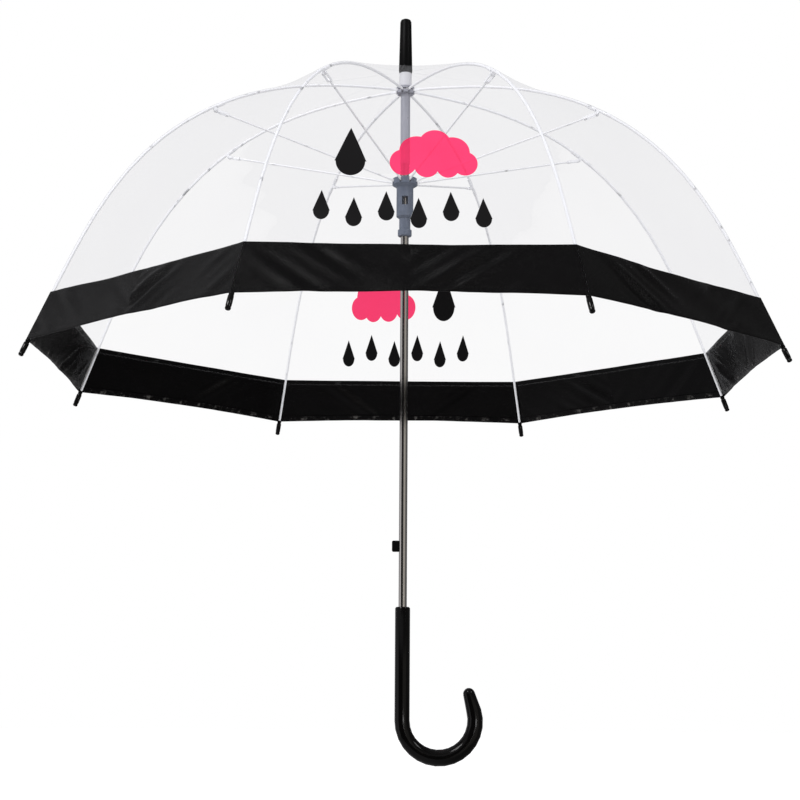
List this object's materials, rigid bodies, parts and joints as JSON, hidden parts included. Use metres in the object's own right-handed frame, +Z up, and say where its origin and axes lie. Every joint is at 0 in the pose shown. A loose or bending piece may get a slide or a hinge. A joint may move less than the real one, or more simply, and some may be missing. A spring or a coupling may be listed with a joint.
{
  "type": "clear dome umbrella",
  "caption": "Clear dome stick umbrella with a black border, crook handle, folding ribs, sliding runner and release button.",
  "frame": {"origin": "on the shaft's axis, half way up the straight part of the handle, where a hand holds it", "axes": "+Z up along the shaft towards the ferrule, +X towards the open end of the crook, -Y is the printed front; open canopy at rest"},
  "size_m": [0.7882, 0.7882, 0.8405],
  "materials": {
    "steel": "polished steel tube and wire",
    "gloss_black": "gloss black moulding",
    "satin_black": "satin black moulding",
    "smoke": "translucent grey-blue moulding",
    "milky": "translucent milky moulding",
    "white_metal": "pale bright metal",
    "tip_black": "gloss black tip",
    "film": "clear flexible film",
    "band_black": "satin black woven border"
  },
  "bodies": {
    "stem": {"shaft": "steel", "handle": "gloss_black", "ferrule": "satin_black", "top_washer": "milky", "top_notch": "smoke", "notch_wire": "steel", "stop_sleeve": "smoke", "buffer_spring": "steel"},
    "rib_1_inner": {"rib_inner_1": "white_metal", "canopy_film_1": "film"},
    "rib_1_outer": {"rib_outer_1": "white_metal", "rib_tip_1": "tip_black", "canopy_band_1": "band_black"},
    "stretcher_1_body": {"stretcher_1": "white_metal"},
    "rib_2_inner": {"rib_inner_2": "white_metal", "canopy_film_2": "film"},
    "rib_2_outer": {"rib_outer_2": "white_metal", "rib_tip_2": "tip_black", "canopy_band_2": "band_black"},
    "stretcher_2_body": {"stretcher_2": "white_metal"},
    "rib_3_inner": {"rib_inner_3": "white_metal", "canopy_film_3": "film"},
    "rib_3_outer": {"rib_outer_3": "white_metal", "rib_tip_3": "tip_black", "canopy_band_3": "band_black"},
    "stretcher_3_body": {"stretcher_3": "white_metal"},
    "rib_4_inner": {"rib_inner_4": "white_metal", "canopy_film_4": "film"},
    "rib_4_outer": {"rib_outer_4": "white_metal", "rib_tip_4": "tip_black", "canopy_band_4": "band_black"},
    "stretcher_4_body": {"stretcher_4": "white_metal"},
    "rib_5_inner": {"rib_inner_5": "white_metal", "canopy_film_5": "film"},
    "rib_5_outer": {"rib_outer_5": "white_metal", "rib_tip_5": "tip_black", "canopy_band_5": "band_black"},
    "stretcher_5_body": {"stretcher_5": "white_metal"},
    "rib_6_inner": {"rib_inner_6": "white_metal", "canopy_film_6": "film"},
    "rib_6_outer": {"rib_outer_6": "white_metal", "rib_tip_6": "tip_black", "canopy_band_6": "band_black"},
    "stretcher_6_body": {"stretcher_6": "white_metal"},
    "rib_7_inner": {"rib_inner_7": "white_metal", "canopy_film_7": "film"},
    "rib_7_outer": {"rib_outer_7": "white_metal", "rib_tip_7": "tip_black", "canopy_band_7": "band_black"},
    "stretcher_7_body": {"stretcher_7": "white_metal"},
    "rib_8_inner": {"rib_inner_8": "white_metal", "canopy_film_8": "film"},
    "rib_8_outer": {"rib_outer_8": "white_metal", "rib_tip_8": "tip_black", "canopy_band_8": "band_black"},
    "stretcher_8_body": {"stretcher_8": "white_metal"},
    "runner_body": {"runner": "smoke", "runner_wire": "steel"},
    "button_body": {"release_button": "satin_black"}
  },
  "joints": [
    {"name": "fold", "type": "hinge", "parent": "stem", "child": "rib_1_inner", "pos_m": [0.00785, 0.00325, 0.6465], "axis": [-0.3827, 0.9239, 0], "range_deg": [0, 70], "stiffness_Nm_per_rad": 1.2, "springref_deg": -68.75, "deforming": ["canopy_film_1", "canopy_band_1"]},
    {"name": "rib_2_fold", "type": "hinge", "parent": "stem", "child": "rib_2_inner", "pos_m": [0.00325, 0.00785, 0.6465], "axis": [-0.9239, 0.3827, 0], "range_deg": [-1, 71], "deforming": ["canopy_film_2", "canopy_band_2"]},
    {"name": "rib_3_fold", "type": "hinge", "parent": "stem", "child": "rib_3_inner", "pos_m": [-0.00325, 0.00785, 0.6465], "axis": [-0.9239, -0.3827, 0], "range_deg": [-1, 71], "deforming": ["canopy_film_3", "canopy_band_3"]},
    {"name": "rib_4_fold", "type": "hinge", "parent": "stem", "child": "rib_4_inner", "pos_m": [-0.00785, 0.00325, 0.6465], "axis": [-0.3827, -0.9239, 0], "range_deg": [-1, 71], "deforming": ["canopy_film_4", "canopy_band_4"]},
    {"name": "rib_5_fold", "type": "hinge", "parent": "stem", "child": "rib_5_inner", "pos_m": [-0.00785, -0.00325, 0.6465], "axis": [0.3827, -0.9239, 0], "range_deg": [-1, 71], "deforming": ["canopy_film_5", "canopy_band_5"]},
    {"name": "rib_6_fold", "type": "hinge", "parent": "stem", "child": "rib_6_inner", "pos_m": [-0.00325, -0.00785, 0.6465], "axis": [0.9239, -0.3827, 0], "range_deg": [-1, 71], "deforming": ["canopy_film_6", "canopy_band_6"]},
    {"name": "rib_7_fold", "type": "hinge", "parent": "stem", "child": "rib_7_inner", "pos_m": [0.00325, -0.00785, 0.6465], "axis": [0.9239, 0.3827, 0], "range_deg": [-1, 71], "deforming": ["canopy_film_7", "canopy_band_7"]},
    {"name": "rib_8_fold", "type": "hinge", "parent": "stem", "child": "rib_8_inner", "pos_m": [0.00785, -0.00325, 0.6465], "axis": [0.3827, 0.9239, 0], "range_deg": [-1, 71], "deforming": ["canopy_film_8", "canopy_band_8"]},
    {"name": "rib_1_flex", "type": "hinge", "parent": "rib_1_inner", "child": "rib_1_outer", "pos_m": [0.2178, 0.09022, 0.59033], "axis": [-0.3827, 0.9239, 0], "range_deg": [-35, 1]},
    {"name": "stretcher_1_pivot", "type": "hinge", "parent": "rib_1_inner", "child": "stretcher_1_body", "pos_m": [0.20702, 0.08575, 0.59215], "axis": [-0.3827, 0.9239, 0], "range_deg": [-141, 1]},
    {"name": "rib_2_flex", "type": "hinge", "parent": "rib_2_inner", "child": "rib_2_outer", "pos_m": [0.09022, 0.2178, 0.59033], "axis": [-0.9239, 0.3827, 0], "range_deg": [-35, 1]},
    {"name": "stretcher_2_pivot", "type": "hinge", "parent": "rib_2_inner", "child": "stretcher_2_body", "pos_m": [0.08575, 0.20702, 0.59215], "axis": [-0.9239, 0.3827, 0], "range_deg": [-141, 1]},
    {"name": "rib_3_flex", "type": "hinge", "parent": "rib_3_inner", "child": "rib_3_outer", "pos_m": [-0.09022, 0.2178, 0.59033], "axis": [-0.9239, -0.3827, 0], "range_deg": [-35, 1]},
    {"name": "stretcher_3_pivot", "type": "hinge", "parent": "rib_3_inner", "child": "stretcher_3_body", "pos_m": [-0.08575, 0.20702, 0.59215], "axis": [-0.9239, -0.3827, 0], "range_deg": [-141, 1]},
    {"name": "rib_4_flex", "type": "hinge", "parent": "rib_4_inner", "child": "rib_4_outer", "pos_m": [-0.2178, 0.09022, 0.59033], "axis": [-0.3827, -0.9239, 0], "range_deg": [-35, 1]},
    {"name": "stretcher_4_pivot", "type": "hinge", "parent": "rib_4_inner", "child": "stretcher_4_body", "pos_m": [-0.20702, 0.08575, 0.59215], "axis": [-0.3827, -0.9239, 0], "range_deg": [-141, 1]},
    {"name": "rib_5_flex", "type": "hinge", "parent": "rib_5_inner", "child": "rib_5_outer", "pos_m": [-0.2178, -0.09022, 0.59033], "axis": [0.3827, -0.9239, 0], "range_deg": [-35, 1]},
    {"name": "stretcher_5_pivot", "type": "hinge", "parent": "rib_5_inner", "child": "stretcher_5_body", "pos_m": [-0.20702, -0.08575, 0.59215], "axis": [0.3827, -0.9239, 0], "range_deg": [-141, 1]},
    {"name": "rib_6_flex", "type": "hinge", "parent": "rib_6_inner", "child": "rib_6_outer", "pos_m": [-0.09022, -0.2178, 0.59033], "axis": [0.9239, -0.3827, 0], "range_deg": [-35, 1]},
    {"name": "stretcher_6_pivot", "type": "hinge", "parent": "rib_6_inner", "child": "stretcher_6_body", "pos_m": [-0.08575, -0.20702, 0.59215], "axis": [0.9239, -0.3827, 0], "range_deg": [-141, 1]},
    {"name": "rib_7_flex", "type": "hinge", "parent": "rib_7_inner", "child": "rib_7_outer", "pos_m": [0.09022, -0.2178, 0.59033], "axis": [0.9239, 0.3827, 0], "range_deg": [-35, 1]},
    {"name": "stretcher_7_pivot", "type": "hinge", "parent": "rib_7_inner", "child": "stretcher_7_body", "pos_m": [0.08575, -0.20702, 0.59215], "axis": [0.9239, 0.3827, 0], "range_deg": [-141, 1]},
    {"name": "rib_8_flex", "type": "hinge", "parent": "rib_8_inner", "child": "rib_8_outer", "pos_m": [0.2178, -0.09022, 0.59033], "axis": [0.3827, 0.9239, 0], "range_deg": [-35, 1]},
    {"name": "stretcher_8_pivot", "type": "hinge", "parent": "rib_8_inner", "child": "stretcher_8_body", "pos_m": [0.20702, -0.08575, 0.59215], "axis": [0.3827, 0.9239, 0], "range_deg": [-141, 1]},
    {"name": "runner_pivot", "type": "hinge", "parent": "stretcher_1_body", "child": "runner_body", "pos_m": [0.00785, 0.00325, 0.5378], "axis": [-0.3827, 0.9239, 0], "range_deg": [-1, 71]},
    {"name": "button_press", "type": "slide", "parent": "stem", "child": "button_body", "axis": [1, 0, 0], "range_m": [0, 0.003], "stiffness_N_per_m": 400, "springref_m": -0.002}
  ],
  "couplings": [
    {"joint": "rib_1_flex", "follows": "fold", "ratio": -0.48571},
    {"joint": "stretcher_1_pivot", "follows": "fold", "ratio": -2},
    {"joint": "rib_2_fold", "follows": "fold", "ratio": 1},
    {"joint": "rib_2_flex", "follows": "fold", "ratio": -0.48571},
    {"joint": "stretcher_2_pivot", "follows": "fold", "ratio": -2},
    {"joint": "rib_3_fold", "follows": "fold", "ratio": 1},
    {"joint": "rib_3_flex", "follows": "fold", "ratio": -0.48571},
    {"joint": "stretcher_3_pivot", "follows": "fold", "ratio": -2},
    {"joint": "rib_4_fold", "follows": "fold", "ratio": 1},
    {"joint": "rib_4_flex", "follows": "fold", "ratio": -0.48571},
    {"joint": "stretcher_4_pivot", "follows": "fold", "ratio": -2},
    {"joint": "rib_5_fold", "follows": "fold", "ratio": 1},
    {"joint": "rib_5_flex", "follows": "fold", "ratio": -0.48571},
    {"joint": "stretcher_5_pivot", "follows": "fold", "ratio": -2},
    {"joint": "rib_6_fold", "follows": "fold", "ratio": 1},
    {"joint": "rib_6_flex", "follows": "fold", "ratio": -0.48571},
    {"joint": "stretcher_6_pivot", "follows": "fold", "ratio": -2},
    {"joint": "rib_7_fold", "follows": "fold", "ratio": 1},
    {"joint": "rib_7_flex", "follows": "fold", "ratio": -0.48571},
    {"joint": "stretcher_7_pivot", "follows": "fold", "ratio": -2},
    {"joint": "rib_8_fold", "follows": "fold", "ratio": 1},
    {"joint": "rib_8_flex", "follows": "fold", "ratio": -0.48571},
    {"joint": "stretcher_8_pivot", "follows": "fold", "ratio": -2},
    {"joint": "runner_pivot", "follows": "fold", "ratio": 1}
  ]
}
